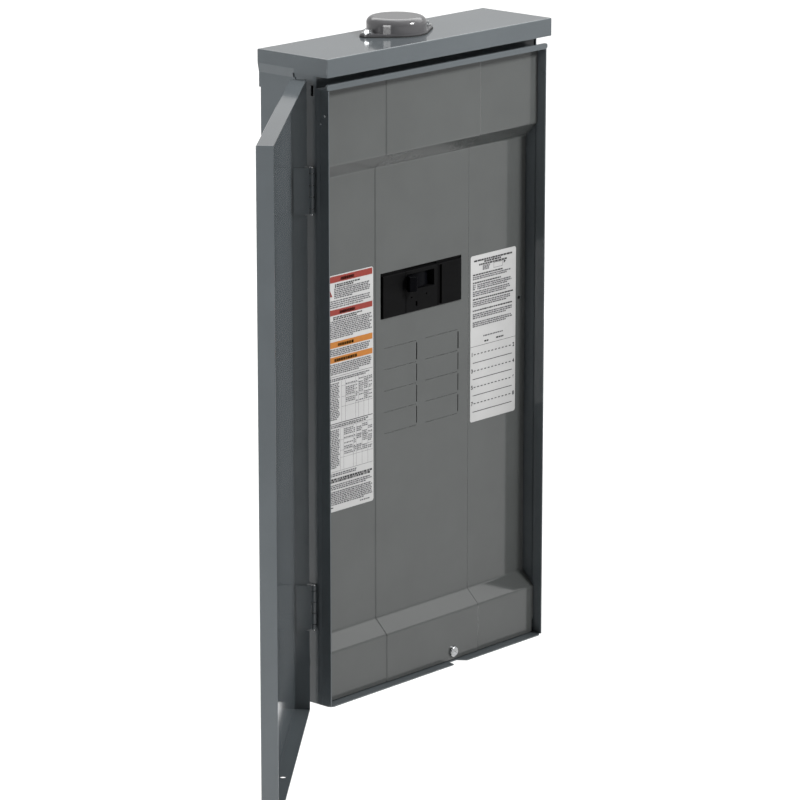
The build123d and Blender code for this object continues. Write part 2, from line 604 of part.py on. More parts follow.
def main_breaker_base():
    """Rear half of the moulded case, seated on the pan, notched over the bus bars."""
    base = block(MAIN_BODY_LEFT, MAIN_BODY_RIGHT, MAIN_BODY_SPLIT, PAN_FACE,
                 MAIN_BODY_LOW, MAIN_BODY_HIGH)
    base = rounded(base, Axis.Y, 3.0) - handle_cavity()
    for side in (-1, 1):
        base -= block(side * (BUS_INNER - CLEARANCE), side * (BUS_OUTER + CLEARANCE),
                      BUS_FACE - BUS_THICKNESS - CLEARANCE, BUS_FACE + CLEARANCE,
                      MAIN_BODY_LOW - 1, BUS_HIGH + 20.0 + CLEARANCE)
    return base - rod_z(HANDLE_PIVOT_X, HANDLE_PIVOT_Y, HANDLE_Z - 16.5, HANDLE_Z + 16.5,
                        HANDLE_PIN_RADIUS + PIN_CLEARANCE)


def main_breaker_handle():
    """Barrel and toggle, thrown to the left: it turns about a vertical pin."""
    bore = HANDLE_PIN_RADIUS + PIN_CLEARANCE
    reach = 2 * HANDLE_RADIUS
    corner_x = reach * sin(radians(HANDLE_ARC))
    corner_y = -reach * cos(radians(HANDLE_ARC))
    wedge = Polyline((0, 0), (-corner_x, corner_y), (-corner_x, -reach), (corner_x, -reach),
                     (corner_x, corner_y), close=True)
    sector = extrude(make_face(wedge), amount=HANDLE_HALF_HEIGHT, both=True)
    ring = Cylinder(HANDLE_RADIUS, 60) - Cylinder(HANDLE_RADIUS - 3.0, 60)
    barrel = sector & ring
    head = block(-HANDLE_HEAD, HANDLE_HEAD, -HANDLE_REACH, -HANDLE_HEAD_START,
                 -HANDLE_HEAD_HALF_HEIGHT, HANDLE_HEAD_HALF_HEIGHT)
    head = fillet(head.edges().group_by(Axis.Y)[0], 1.5)
    stem_half = HANDLE_HALF_HEIGHT - 1.0
    toggle = head + block(-HANDLE_STEM, HANDLE_STEM, -HANDLE_HEAD_START - 1,
                          -HANDLE_RADIUS + 1.5, -stem_half, stem_half)
    web = block(-3.0, 3.0, -HANDLE_RADIUS + 2.0, 0, -4.0, 4.0)
    hub = Cylinder(4.5, 2 * HANDLE_HALF_HEIGHT - 2)
    handle = barrel + toggle + web + hub - Cylinder(bore, 60)
    return Pos(HANDLE_PIVOT_X, HANDLE_PIVOT_Y, HANDLE_Z) * Rot(0, 0, -HANDLE_HALF_THROW) * handle


def handle_pin():
    return rod_z(HANDLE_PIVOT_X, HANDLE_PIVOT_Y, HANDLE_Z - 16.0, HANDLE_Z + 16.0,
                 HANDLE_PIN_RADIUS)


# ---- current-carrying interior ------------------------------------------------------
def lug(x, z_low, y_back):
    """Aluminium box lug with a vertical wire hole and a clamping screw hole in front."""
    body = block(x - LUG_WIDTH / 2, x + LUG_WIDTH / 2, y_back, y_back - LUG_DEPTH,
                 z_low, z_low + LUG_HEIGHT)
    body = rounded(body, Axis.Z, 3.0)
    middle = y_back - LUG_DEPTH / 2
    body -= rod_z(x, middle, z_low - 1, z_low + LUG_HEIGHT + 1, LUG_WIRE_RADIUS)
    body -= rod_y(x, y_back - LUG_DEPTH - 1, middle, z_low + LUG_HEIGHT / 2, 5.0 + CLEARANCE)
    return body


def lug_screw(x, z_low, y_back):
    """Socket set screw seated in the front of a lug, clear of the wire hole's middle."""
    front = y_back - LUG_DEPTH - 2.0
    z = z_low + LUG_HEIGHT / 2
    screw = rod_y(x, front, front + LUG_SCREW_LENGTH, z, 5.0)
    socket = extrude(RegularPolygon(3.0, 6), amount=4.0)
    return screw - Pos(x, front + 3.9, z) * Rot(90, 0, 0) * socket


def line_lug_places():
    rear = BUS_FACE - BUS_THICKNESS
    middle = (MAIN_BODY_LEFT + MAIN_BODY_RIGHT) / 2
    return [(middle + dx, MAIN_BODY_HIGH, rear) for dx in (-20.0, 20.0)]


def feed_lug_places():
    middle = (BUS_INNER + BUS_OUTER) / 2
    return [(x, BUS_LOW, BUS_FACE - BUS_THICKNESS) for x in (-middle, middle)]


def neutral_lug_places():
    rear = NEUTRAL_FACE + NEUTRAL_SIZE
    feed_low = NEUTRAL_LOW - STRAP_HEIGHT - 6.0 - LUG_HEIGHT
    return [(-NEUTRAL_X, z, rear) for z in (NEUTRAL_HIGH + 6.0, feed_low)]


def lug_screws():
    places = line_lug_places() + feed_lug_places() + neutral_lug_places()
    return Compound(children=[lug_screw(*place) for place in places])


def bus_bar(side):
    """Vertical bus bar with stab fingers at every second branch space."""
    low = min(side * BUS_INNER, side * BUS_OUTER)
    high = max(side * BUS_INNER, side * BUS_OUTER)
    front = BUS_FACE - BUS_THICKNESS
    bar = block(low, high, front, BUS_FACE, BUS_LOW, BUS_HIGH + 20.0)
    first = 0 if side < 0 else 1
    for row in range(first, TWISTOUT_ROWS, 2):
        z = TWISTOUT_TOP - (row + 0.5) * BREAKER_PITCH
        bar += block(side * BUS_INNER, -side * 8.0, front, BUS_FACE, z - 8, z + 8)
        blade = block(-8.0, 8.0, BUS_FACE - 22.0, front, z - 1.5, z + 1.5)
        bar += fillet(blade.edges().group_by(Axis.Y)[0], 1.0)
    return bar


def bus_insulator():
    """Moulded base that carries the bus bars on ribs and keeps them apart."""
    low = BUS_LOW - 8.0
    high = BOTTOM + 438.0
    base = block(-40.0, 40.0, PAN_FACE, PAN_FACE - 5.0, low, high)
    base = rounded(base, Axis.Y, 4.0)
    for x in (-38.0, 36.0):
        base += block(x, x + 2.0, PAN_FACE - 5.0, BUS_FACE - 4.0, low + 8, high - 8)
    for row in range(TWISTOUT_ROWS + 1):
        z = TWISTOUT_TOP - row * BREAKER_PITCH
        base += block(-36.0, 36.0, PAN_FACE - 5.0, BUS_FACE, z - 1.0, z + 1.0)
    return base


def pan_screw_places():
    reach = PAN_WIDTH / 2 - 10.0
    return [(x, z) for x in (-reach, reach) for z in (PAN_LOW + 10.0, PAN_HIGH - 10.0)]


def interior_pan():
    """Folded steel tray that stands on the back panel and carries the interior."""
    half = PAN_WIDTH / 2
    outer = block(-half, half, -SHEET, PAN_FACE, PAN_LOW, PAN_HIGH)
    outer = fillet(outer.edges().filter_by(Axis.Z).group_by(Axis.Y)[0], 2.0)
    tray = outer - block(-half + SHEET, half - SHEET, 0, PAN_FACE + SHEET,
                         PAN_LOW - 1, PAN_HIGH + 1)
    for x, z in pan_screw_places():
        tray -= rod_y(x, PAN_FACE - 1, PAN_FACE + SHEET + 1, z, 2.0 + CLEARANCE)
    for z in (PAN_LOW + 22.0, PAN_HIGH - 22.0):
        tray -= block(-14.0, 14.0, PAN_FACE - 1, PAN_FACE + SHEET + 1, z - 4, z + 4)
    return tray


def pan_screws():
    screws = []
    for x, z in pan_screw_places():
        head = Pos(x, PAN_FACE, z) * Rot(90, 0, 0) * round_head(4.2, 2.6)
        slot = Pos(x, PAN_FACE - 2.6, z) * Box(10, 1.6, 1.0)
        screws.append(head + rod_y(x, PAN_FACE, -0.2, z, 2.0) - slot)
    return Compound(children=screws)


def breaker_rail(side):
    """Hooked rail on which the outer ends of the branch breakers clip."""
    x = side * 66.0
    low = TWISTOUT_TOP - TWISTOUT_ROWS * BREAKER_PITCH - 6.0
    high = TWISTOUT_TOP + 6.0
    foot = block(x, x - side * 16.0, PAN_FACE, PAN_FACE - SHEET, low, high)
    web = block(x, x + side * SHEET, PAN_FACE, PAN_FACE - 26.0, low, high)
    lip = block(x + side * SHEET, x - side * 5.0, PAN_FACE - 26.0, PAN_FACE - 26.0 + SHEET,
                low, high)
    rail = foot + web + lip
    for row in range(TWISTOUT_ROWS + 1):
        z = TWISTOUT_TOP - row * BREAKER_PITCH
        rail -= block(x - side * 8.0, x + side * 3.0, PAN_FACE - 18.0, PAN_FACE - 27.0,
                      z - 2.0, z + 2.0)
    return rail


def neutral_way_heights():
    pitch = (NEUTRAL_HIGH - NEUTRAL_LOW) / NEUTRAL_WAYS
    return [NEUTRAL_LOW + (way + 0.5) * pitch for way in range(NEUTRAL_WAYS)]


def neutral_bar(side):
    """Aluminium terminal bar: cross holes for wires and threaded holes in front."""
    half = NEUTRAL_SIZE / 2
    x = side * NEUTRAL_X
    bar = block(x - half, x + half, NEUTRAL_FACE, NEUTRAL_FACE + NEUTRAL_SIZE,
                NEUTRAL_LOW, NEUTRAL_HIGH)
    bar = rounded(bar, Axis.Z, 1.0)
    middle = NEUTRAL_FACE + half
    for z in neutral_way_heights():
        bar -= rod_x(x - half - 1, x + half + 1, middle, z, 3.2)
        bar -= rod_y(x, NEUTRAL_FACE - 1, middle, z, 2.5 + CLEARANCE)
    return bar


def neutral_screws():
    screws = []
    for side in (-1, 1):
        for z in neutral_way_heights():
            head = Pos(side * NEUTRAL_X, NEUTRAL_FACE - 1.2, z)
            head = head * Rot(90, 0, 0) * round_head(4.0, 2.2)
            shank = rod_y(side * NEUTRAL_X, NEUTRAL_FACE - 1.2, NEUTRAL_FACE + 3.0, z, 2.5)
            slot = Pos(side * NEUTRAL_X, NEUTRAL_FACE - 3.4, z) * Box(10, 1.6, 0.9)
            screws.append(head + shank - slot)
    return Compound(children=screws)


def neutral_support(side):
    """Moulded stand-off that holds a neutral bar clear of the back panel."""
    x = side * NEUTRAL_X
    rear = NEUTRAL_FACE + NEUTRAL_SIZE
    parts = block(x - 8.0, x + 8.0, -SHEET, -SHEET - 4.0, NEUTRAL_LOW - 4, NEUTRAL_HIGH + 4)
    for z in (NEUTRAL_LOW + 8.0, (NEUTRAL_LOW + NEUTRAL_HIGH) / 2, NEUTRAL_HIGH - 8.0):
        parts += block(x - 6.0, x + 6.0, -SHEET - 4.0, rear, z - 7, z + 7)
    return parts


def bonding_place():
    return NEUTRAL_X + 30.0, NEUTRAL_LOW - STRAP_HEIGHT / 2


def neutral_strap():
    """Flat bar that joins the two neutral bars and reaches the bonding screw."""
    low = NEUTRAL_LOW - STRAP_HEIGHT
    front = NEUTRAL_FACE - 15.0
    rear = NEUTRAL_FACE - 12.0
    x, z = bonding_place()
    strap = block(-NEUTRAL_X - 6.0, x + 8.0, front, rear, low, NEUTRAL_LOW)
    for side in (-1, 1):
        middle = side * NEUTRAL_X
        strap += block(middle - 6.0, middle + 6.0, rear, NEUTRAL_FACE + NEUTRAL_SIZE,
                       low, NEUTRAL_LOW)
    return strap - rod_y(x, rear + 1, front - 1, z, 2.4 + CLEARANCE)


def neutral_lug(place):
    """Box lug on a tongue that runs back to the end of the left neutral bar."""
    x, z_low, y_back = place
    above = z_low > NEUTRAL_HIGH
    start = NEUTRAL_HIGH if above else z_low + LUG_HEIGHT
    end = z_low if above else NEUTRAL_LOW - STRAP_HEIGHT
    tongue = block(x - 6.0, x + 6.0, y_back, y_back - 8.0, start, end)
    return lug(x, z_low, y_back) + tongue


def bonding_screw():
    """Screw that bonds the neutral strap to the back panel."""
    x, z = bonding_place()
    front = NEUTRAL_FACE - 15.0
    head = Pos(x, front, z) * Rot(90, 0, 0) * round_head(5.0, 3.0)
    slot = Pos(x, front - 3.0, z) * Box(12, 2.0, 1.2)
    return head + rod_y(x, front, -SHEET, z, 2.4) - slot


# ---- labels -------------------------------------------------------------------------
def label(x0, low, high):
    rear = COVER_RECESSED + CREASE_STEP
    sheet = block(x0, x0 + LABEL_WIDTH, rear, rear - LABEL_THICKNESS, low, high)
    return rounded(sheet, Axis.Y, 3.0)


# ---- write every sub-part -----------------------------------------------------------
os.makedirs("parts", exist_ok=True)

save(box_wrap(), "box_wrap")
save(bottom_end_wall(), "bottom_end_wall")
save(rain_hood(), "rain_hood")
save(drip_rail(), "drip_rail")
save(hub_gasket(), "hub_gasket")
save(hub_closing_cap(), "hub_closing_cap")
save(hub_cap_screws(), "hub_cap_screws")
save(open_door(door_pan()), "door_pan")
for place, centre in zip(("upper", "lower"), HINGE_CENTRES):
    save(hinge_box_leaf(centre), "hinge_box_leaf_" + place)
    save(open_door(hinge_door_leaf(centre)), "hinge_door_leaf_" + place)
    save(hinge_pin(centre), "hinge_pin_" + place)
save(dead_front(), "dead_front")
save(dead_front_screw(), "dead_front_screw")
save(window_filler(WINDOW_LEFT + WINDOW_GAP_LEFT, MAIN_LEFT - BODY_GAP), "window_filler_left")
save(right_filler(), "window_filler_right")
save(main_breaker_cover(), "main_breaker_cover")
save(main_breaker_base(), "main_breaker_base")
save(main_breaker_handle(), "main_breaker_handle")
save(handle_pin(), "main_breaker_handle_pin")
for side, name in ((-1, "left"), (1, "right")):
    save(bus_bar(side), "bus_bar_" + name)
    save(breaker_rail(side), "breaker_rail_" + name)
    save(neutral_bar(side), "neutral_bar_" + name)
    save(neutral_support(side), "neutral_support_" + name)
for name, line, feed in zip(("left", "right"), line_lug_places(), feed_lug_places()):
    save(lug(*line), "line_lug_" + name)
    save(lug(*feed), "feed_lug_" + name)
save(lug_screws(), "lug_screws")
save(bus_insulator(), "bus_insulator")
save(interior_pan(), "interior_pan")
save(pan_screws(), "pan_screws")
save(neutral_screws(), "neutral_screws")
save(neutral_strap(), "neutral_strap")
save(neutral_lug(neutral_lug_places()[0]), "neutral_lug_supply")
save(neutral_lug(neutral_lug_places()[1]), "neutral_lug_feed")
save(bonding_screw(), "bonding_screw")
save(label(LEFT_LABEL_X, LEFT_LABEL_LOW, LEFT_LABEL_HIGH), "label_left")
save(label(RIGHT_LABEL_X, RIGHT_LABEL_LOW, RIGHT_LABEL_HIGH), "label_right")
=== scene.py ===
import json
import math
import random

import bmesh
import bpy
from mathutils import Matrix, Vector

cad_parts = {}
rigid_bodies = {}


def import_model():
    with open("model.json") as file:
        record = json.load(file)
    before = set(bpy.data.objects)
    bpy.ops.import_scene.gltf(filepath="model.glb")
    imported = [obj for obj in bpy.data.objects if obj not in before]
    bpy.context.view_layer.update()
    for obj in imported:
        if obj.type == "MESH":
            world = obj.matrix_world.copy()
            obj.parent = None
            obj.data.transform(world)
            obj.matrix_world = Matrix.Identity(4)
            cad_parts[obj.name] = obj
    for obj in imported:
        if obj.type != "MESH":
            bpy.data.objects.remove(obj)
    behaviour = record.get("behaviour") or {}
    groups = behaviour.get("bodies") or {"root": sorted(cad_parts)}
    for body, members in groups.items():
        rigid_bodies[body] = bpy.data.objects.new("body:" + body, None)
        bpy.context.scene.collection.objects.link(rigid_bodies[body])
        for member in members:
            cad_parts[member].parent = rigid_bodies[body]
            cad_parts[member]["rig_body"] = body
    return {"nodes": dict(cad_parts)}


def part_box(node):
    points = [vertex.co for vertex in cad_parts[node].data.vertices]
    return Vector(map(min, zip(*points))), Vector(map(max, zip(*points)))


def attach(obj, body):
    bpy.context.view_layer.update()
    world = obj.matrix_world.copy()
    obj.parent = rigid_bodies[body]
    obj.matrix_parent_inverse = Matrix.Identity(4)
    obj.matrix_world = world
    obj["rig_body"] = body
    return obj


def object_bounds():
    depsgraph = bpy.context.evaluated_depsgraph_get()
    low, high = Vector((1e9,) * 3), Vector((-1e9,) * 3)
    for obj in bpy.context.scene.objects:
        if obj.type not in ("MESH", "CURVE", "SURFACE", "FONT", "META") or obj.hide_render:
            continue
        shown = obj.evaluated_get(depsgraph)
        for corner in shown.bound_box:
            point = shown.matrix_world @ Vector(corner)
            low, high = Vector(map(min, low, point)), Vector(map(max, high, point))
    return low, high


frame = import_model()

# Looks of an outdoor load center, in metres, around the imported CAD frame.
# X runs across the panel, the wall is at Y = 0, the open door stands out at the left.

NODES = frame["nodes"]
CAD_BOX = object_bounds()
MM = 0.001

# ---- camera --------------------------------------------------------------------------
CAMERA_TARGET = Vector((0.0455, 0.0, -0.0740))
CAMERA_YAW = math.radians(47.584)
CAMERA_PITCH = math.radians(14.655)
CAMERA_DISTANCE = 4.9518
CAMERA_LENS = 187.63
SENSOR_WIDTH = 36.0
SIGHT_LIMIT = 100.0      # nothing further off than this is drawn

# ---- colours -------------------------------------------------------------------------
ENCLOSURE_GREY = (0.080, 0.091, 0.098)
COVER_GREY = (0.072, 0.076, 0.0745)
CAP_GREY = (0.075, 0.074, 0.077)
BREAKER_BLACK = (0.0036, 0.0036, 0.0038)
HANDLE_BLACK = (0.0016, 0.0017, 0.0024)
SUPPORT_CREAM = (0.48, 0.46, 0.40)
INSULATOR_BROWN = (0.10, 0.025, 0.016)
RUBBER_BLACK = (0.02, 0.02, 0.02)
ZINC_BRIGHT = (0.52, 0.53, 0.55)
ZINC_DULL = (0.44, 0.45, 0.44)
TIN_BRIGHT = (0.72, 0.72, 0.71)
TIN_DULL = (0.60, 0.60, 0.60)
BONDING_GREEN = (0.02, 0.22, 0.06)
BARE_ALUMINIUM = (0.74, 0.75, 0.76)
GALVANIZED_GREY = (0.62, 0.64, 0.66)
FILM_SHADE = (0.40, 0.40, 0.397)
FILM_WHITE = (0.44, 0.44, 0.437)
INK_GREY = (0.055, 0.055, 0.06)
INK_DARK = (0.006, 0.006, 0.007)
INK_RED = (0.20, 0.018, 0.010)
INK_ORANGE = (0.36, 0.125, 0.010)
INK_WHITE = (0.46, 0.44, 0.42)
FLOOR_WHITE = (0.9, 0.9, 0.9)

# ---- surfaces ------------------------------------------------------------------------
ENAMEL_GLOSS = 0.10      # roughness of the baked enamel
ALONG_GRAIN = 0.04       # waves along a drawn bar, against those across it

# ---- surroundings and lights ---------------------------------------------------------
SKY = 0.66               # brightness of the white surroundings
DARK_SIDE = 0.05         # share of it left on the side the panel is looked at from
DARK_FROM, DARK_TO = 0.2, 0.75      # where that side begins, and where it is darkest
ZENITH = 1.2             # the surroundings overhead, against those at eye level
ZENITH_FROM, ZENITH_TO = 0.3, 0.8
FLOOR_DROP = 0.6         # the panel hangs on a wall, this far above the floor
FLOOR_REACH = 30.0

KEY_PLACE = (0.9, -2.2, 2.0)
KEY_AIM = (0.0, -0.1, 0.31)         # the upper half of the cover
KEY_CONE = 33.0
KEY_POWER = 490.0
KEY_RADIUS = 0.35
SIDE_PLACE, SIDE_SIZE, SIDE_POWER = (-3.5, -0.4, 0.8), 1.8, 95.0
OVERHEAD_PLACE, OVERHEAD_SIZE, OVERHEAD_POWER = (2.3, -0.8, 2.0), 1.6, 9.0
BACKDROP_PLACE, BACKDROP_SIZE, BACKDROP_POWER = (4.2, 3.6, 4.5), 8.0, 430.0
BACKDROP_AIM = (4.2, 3.6, 0.0)      # straight down on the floor behind the panel

# ---- print ---------------------------------------------------------------------------
PRINT_WEIGHT = 1.6       # height of a line of print, against its lower-case letters
PRINT_BACK = 0.01 * MM   # gap between the film and the back of the marks
PRINT_FRONT = 0.035 * MM
EM_PER_DIGIT = 1.4       # size of the type, against the height asked for
DIGIT_BOLDNESS = 0.25 * MM


# ---- node helpers --------------------------------------------------------------------
def new_material(name):
    """Material with an empty Principled surface; returns (material, tree, surface node)."""
    material = bpy.data.materials.new(name)
    material.use_nodes = True
    tree = material.node_tree
    return material, tree, tree.nodes["Principled BSDF"]


def object_coordinates(tree, stretch=(1.0, 1.0, 1.0)):
    """Place on the object in metres; a stretch below 1 draws a noise out along that axis."""
    place = tree.nodes.new("ShaderNodeTexCoord").outputs["Object"]
    if stretch == (1.0, 1.0, 1.0):
        return place
    mapping = tree.nodes.new("ShaderNodeMapping")
    mapping.inputs["Scale"].default_value = stretch
    tree.links.new(place, mapping.inputs["Vector"])
    return mapping.outputs["Vector"]


def noise(tree, place, scale, detail=3.0, roughness=0.5, distortion=0.0):
    """Factor of a noise with so many waves to the metre."""
    node = tree.nodes.new("ShaderNodeTexNoise")
    node.inputs["Scale"].default_value = scale
    node.inputs["Detail"].default_value = detail
    node.inputs["Roughness"].default_value = roughness
    node.inputs["Distortion"].default_value = distortion
    tree.links.new(place, node.inputs["Vector"])
    return node.outputs["Fac"]


def spread(tree, value, low, high, start=0.3, stop=0.7):
    """Stretch a factor from start..stop to low..high, without going past them."""
    node = tree.nodes.new("ShaderNodeMapRange")
    for name, number in (("From Min", start), ("From Max", stop),
                         ("To Min", low), ("To Max", high)):
        node.inputs[name].default_value = number
    tree.links.new(value, node.inputs["Value"])
    return node.outputs["Result"]


def two_colours(tree, value, low, high, start=0.3, stop=0.7):
    """Turn a factor from start..stop into a colour from low to high."""
    ramp = tree.nodes.new("ShaderNodeValToRGB")
    ramp.color_ramp.elements[0].position = start
    ramp.color_ramp.elements[1].position = stop
    ramp.color_ramp.elements[0].color = (*low, 1.0)
    ramp.color_ramp.elements[1].color = (*high, 1.0)
    tree.links.new(value, ramp.inputs["Fac"])
    return ramp.outputs["Color"]


def bump(tree, surface, layers):
    """Chain of bumps on the surface; layers are (height, strength, depth in metres)."""
    previous = None
    for height, strength, depth in layers:
        node = tree.nodes.new("ShaderNodeBump")
        node.inputs["Strength"].default_value = strength
        node.inputs["Distance"].default_value = depth
        tree.links.new(height, node.inputs["Height"])
        if previous is not None:
            tree.links.new(previous, node.inputs["Normal"])
        previous = node.outputs["Normal"]
    tree.links.new(previous, surface.inputs["Normal"])


def scaled(colour, factor):
    return tuple(min(1.0, channel * factor) for channel in colour)


# ---- materials -----------------------------------------------------------------------
def gloss_paint(name, colour, roughness, peel=0.012, wave=0.035):
    """Baked enamel on sheet steel: faint mottle, orange peel and sheet waviness."""
    material, tree, surface = new_material(name)
    place = object_coordinates(tree)
    mottle = noise(tree, place, scale=14.0, detail=4.0, roughness=0.55)
    tree.links.new(two_colours(tree, mottle, scaled(colour, 0.95), scaled(colour, 1.05)),
                   surface.inputs["Base Color"])
    smears = noise(tree, object_coordinates(tree, stretch=(1.0, 1.0, 0.35)),
                   scale=38.0, detail=4.0, roughness=0.6, distortion=0.4)
    tree.links.new(spread(tree, smears, roughness * 0.92, roughness * 1.1),
                   surface.inputs["Roughness"])
    bump(tree, surface, ((noise(tree, place, scale=5.5, detail=1.0), wave, 1.2 * MM),
                         (noise(tree, place, scale=620.0, detail=2.0), peel, 0.25 * MM)))
    surface.inputs["Specular IOR Level"].default_value = 0.5
    return material


def moulded_plastic(name, colour, roughness, grain=0.25, specular=0.5):
    """Moulded plastic with a fine spark-eroded grain and slight flow marks."""
    material, tree, surface = new_material(name)
    place = object_coordinates(tree)
    flow = noise(tree, object_coordinates(tree, stretch=(1.0, 1.0, 3.0)),
                 scale=45.0, detail=3.0, roughness=0.5, distortion=0.6)
    tree.links.new(two_colours(tree, flow, scaled(colour, 0.85), scaled(colour, 1.2)),
                   surface.inputs["Base Color"])
    tree.links.new(spread(tree, flow, roughness * 0.9, roughness * 1.12),
                   surface.inputs["Roughness"])
    bump(tree, surface, ((noise(tree, place, scale=2600.0, detail=2.0), grain, 0.08 * MM),
                         (noise(tree, place, scale=60.0, detail=1.0), 0.1, 0.2 * MM)))
    surface.inputs["Specular IOR Level"].default_value = specular
    return material


def plated_metal(name, bright, dull, roughness):
    """Zinc or tin plating: cloudy colour, uneven gloss, fine turning marks."""
    material, tree, surface = new_material(name)
    place = object_coordinates(tree)
    cloud = noise(tree, place, scale=260.0, detail=4.0, roughness=0.6)
    tree.links.new(two_colours(tree, cloud, scaled(dull, 0.85), bright),
                   surface.inputs["Base Color"])
    tree.links.new(spread(tree, cloud, roughness * 1.3, roughness * 0.8),
                   surface.inputs["Roughness"])
    surface.inputs["Metallic"].default_value = 1.0
    bump(tree, surface, ((noise(tree, place, scale=1500.0, detail=3.0), 0.15, 0.05 * MM),))
    return material


def drawn_metal(name, colour, roughness, stretch=(1.0, 1.0, ALONG_GRAIN)):
    """Extruded or rolled bar with faint lines along its length."""
    material, tree, surface = new_material(name)
    lines = noise(tree, object_coordinates(tree, stretch), scale=900.0, detail=3.0,
                  roughness=0.65)
    cloud = noise(tree, object_coordinates(tree), scale=30.0, detail=3.0)
    tree.links.new(two_colours(tree, cloud, scaled(colour, 0.88), colour),
                   surface.inputs["Base Color"])
    tree.links.new(spread(tree, lines, roughness * 0.75, roughness * 1.3),
                   surface.inputs["Roughness"])
    surface.inputs["Metallic"].default_value = 1.0
    bump(tree, surface, ((lines, 0.2, 0.04 * MM),))
    return material


def galvanized(name, colour, roughness):
    """Hot-dip zinc with its flat crystals, each a little different."""
    material, tree, surface = new_material(name)
    place = object_coordinates(tree)
    crystals = tree.nodes.new("ShaderNodeTexVoronoi")
    crystals.inputs["Scale"].default_value = 130.0
    tree.links.new(place, crystals.inputs["Vector"])
    tone = tree.nodes.new("ShaderNodeSeparateColor")
    tree.links.new(crystals.outputs["Color"], tone.inputs["Color"])
    tree.links.new(two_colours(tree, tone.outputs["Red"], scaled(colour, 0.8), colour,
                               start=0.0, stop=1.0),
                   surface.inputs["Base Color"])
    tree.links.new(spread(tree, tone.outputs["Green"], roughness * 0.8, roughness * 1.3,
                          start=0.0, stop=1.0),
                   surface.inputs["Roughness"])
    surface.inputs["Metallic"].default_value = 1.0
    bump(tree, surface, ((noise(tree, place, scale=400.0, detail=3.0), 0.08, 0.05 * MM),))
    return material


def label_film(name):
    """White vinyl film: a little uneven in tone, with a soft sheen and tiny bubbles."""
    material, tree, surface = new_material(name)
    place = object_coordinates(tree)
    tone = noise(tree, place, scale=30.0, detail=4.0, roughness=0.6)
    tree.links.new(two_colours(tree, tone, FILM_SHADE, FILM_WHITE),
                   surface.inputs["Base Color"])
    tree.links.new(spread(tree, tone, 0.38, 0.5), surface.inputs["Roughness"])
    bump(tree, surface, ((noise(tree, place, scale=90.0, detail=2.0), 0.12, 0.15 * MM),
                         (noise(tree, place, scale=1400.0, detail=1.0), 0.08, 0.03 * MM)))
    return material


def ink(name, colour):
    """Print on the film: slightly uneven coverage, as gloss as the film."""
    material, tree, surface = new_material(name)
    cover = noise(tree, object_coordinates(tree), scale=700.0, detail=3.0, roughness=0.7)
    tree.links.new(two_colours(tree, cover, scaled(colour, 0.9), scaled(colour, 1.15)),
                   surface.inputs["Base Color"])
    tree.links.new(spread(tree, cover, 0.4, 0.5), surface.inputs["Roughness"])
    return material


# ---- CAD nodes -----------------------------------------------------------------------
def body_of(node):
    """Name of the moving body that a CAD node belongs to."""
    return NODES[node].get("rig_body")


def paint_node(node, material):
    """Give a CAD node that stays as it is its material."""
    if not NODES[node].material_slots:
        NODES[node].data.materials.append(None)
    for place in NODES[node].material_slots:
        place.link = "OBJECT"
        place.material = material


# ---- printing on the labels ----------------------------------------------------------
class Print:
    """Thin raised marks on a label, placed in millimetres from its top left corner."""

    def __init__(self, name, node, inks):
        self.low, self.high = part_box(node)
        self.mesh = bmesh.new()
        self.inks = inks
        self.name = name
        self.node = node
        self.width = (self.high.x - self.low.x) / MM

    def bar(self, across, down, width, height, ink_index=0):
        """Rectangle whose top left corner is across and down from the label's."""
        corners = ((across, down), (across + width, down), (across + width, down + height),
                   (across, down + height))
        self.shape(corners, ink_index)

    def shape(self, corners, ink_index=0):
        """Thin plate with the outline of the corners, just clear of the film."""
        film = self.low.y
        rings = []
        for depth in (PRINT_BACK, PRINT_FRONT):
            rings.append([self.mesh.verts.new((self.low.x + x * MM, film - depth,
                                               self.high.z - z * MM)) for x, z in corners])
        back, front = rings
        count = len(corners)
        faces = [self.mesh.faces.new(front), self.mesh.faces.new(list(reversed(back)))]
        for i in range(count):
            j = (i + 1) % count
            faces.append(self.mesh.faces.new((back[i], back[j], front[j], front[i])))
        for face in faces:
            face.material_index = ink_index

    def words(self, chance, across, down, width, height, ink_index=0, short=1.2, long=4.6):
        """One line of greeked words, as plain blocks."""
        place = across
        while place < across + width - short:
            length = min(chance.uniform(short, long), across + width - place)
            self.bar(place, down, length, height * PRINT_WEIGHT, ink_index)
            place += length + chance.uniform(0.55, 0.9)

    def paragraph(self, chance, across, down, width, lines, pitch, height, ink_index=0,
                  last=0.6):
        """Lines of greeked words; the last one is a share of the width long."""
        for line in range(lines):
            reach = width * (last if line == lines - 1 else chance.uniform(0.93, 1.0))
            self.words(chance, across, down + line * pitch, reach, height, ink_index)

    def digit(self, text, across, down, height, ink_index=0):
        """A plain number from the built-in font."""
        curve = bpy.data.curves.new("digit", "FONT")
        curve.body = text
        curve.size = height * MM * EM_PER_DIGIT
        curve.offset = DIGIT_BOLDNESS
        holder = bpy.data.objects.new("digit", curve)
        bpy.context.scene.collection.objects.link(holder)
        graph = bpy.context.evaluated_depsgraph_get()
        flat = bpy.data.meshes.new_from_object(holder.evaluated_get(graph))
        for polygon in flat.polygons:
            corners = [flat.vertices[i].co for i in polygon.vertices]
            self.shape([(across + c.x / MM, down - c.y / MM) for c in corners], ink_index)
        bpy.data.objects.remove(holder)
        bpy.data.curves.remove(curve)
        bpy.data.meshes.remove(flat)

    def done(self):
        """Turn the marks into one piece that rides with the label's body."""
        bmesh.ops.recalc_face_normals(self.mesh, faces=self.mesh.faces)
        data = bpy.data.meshes.new(self.name)
        self.mesh.to_mesh(data)
        self.mesh.free()
        for material in self.inks:
            data.materials.append(material)
        piece = bpy.data.objects.new(self.name, data)
        bpy.context.scene.collection.objects.link(piece)
        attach(piece, body_of(self.node))


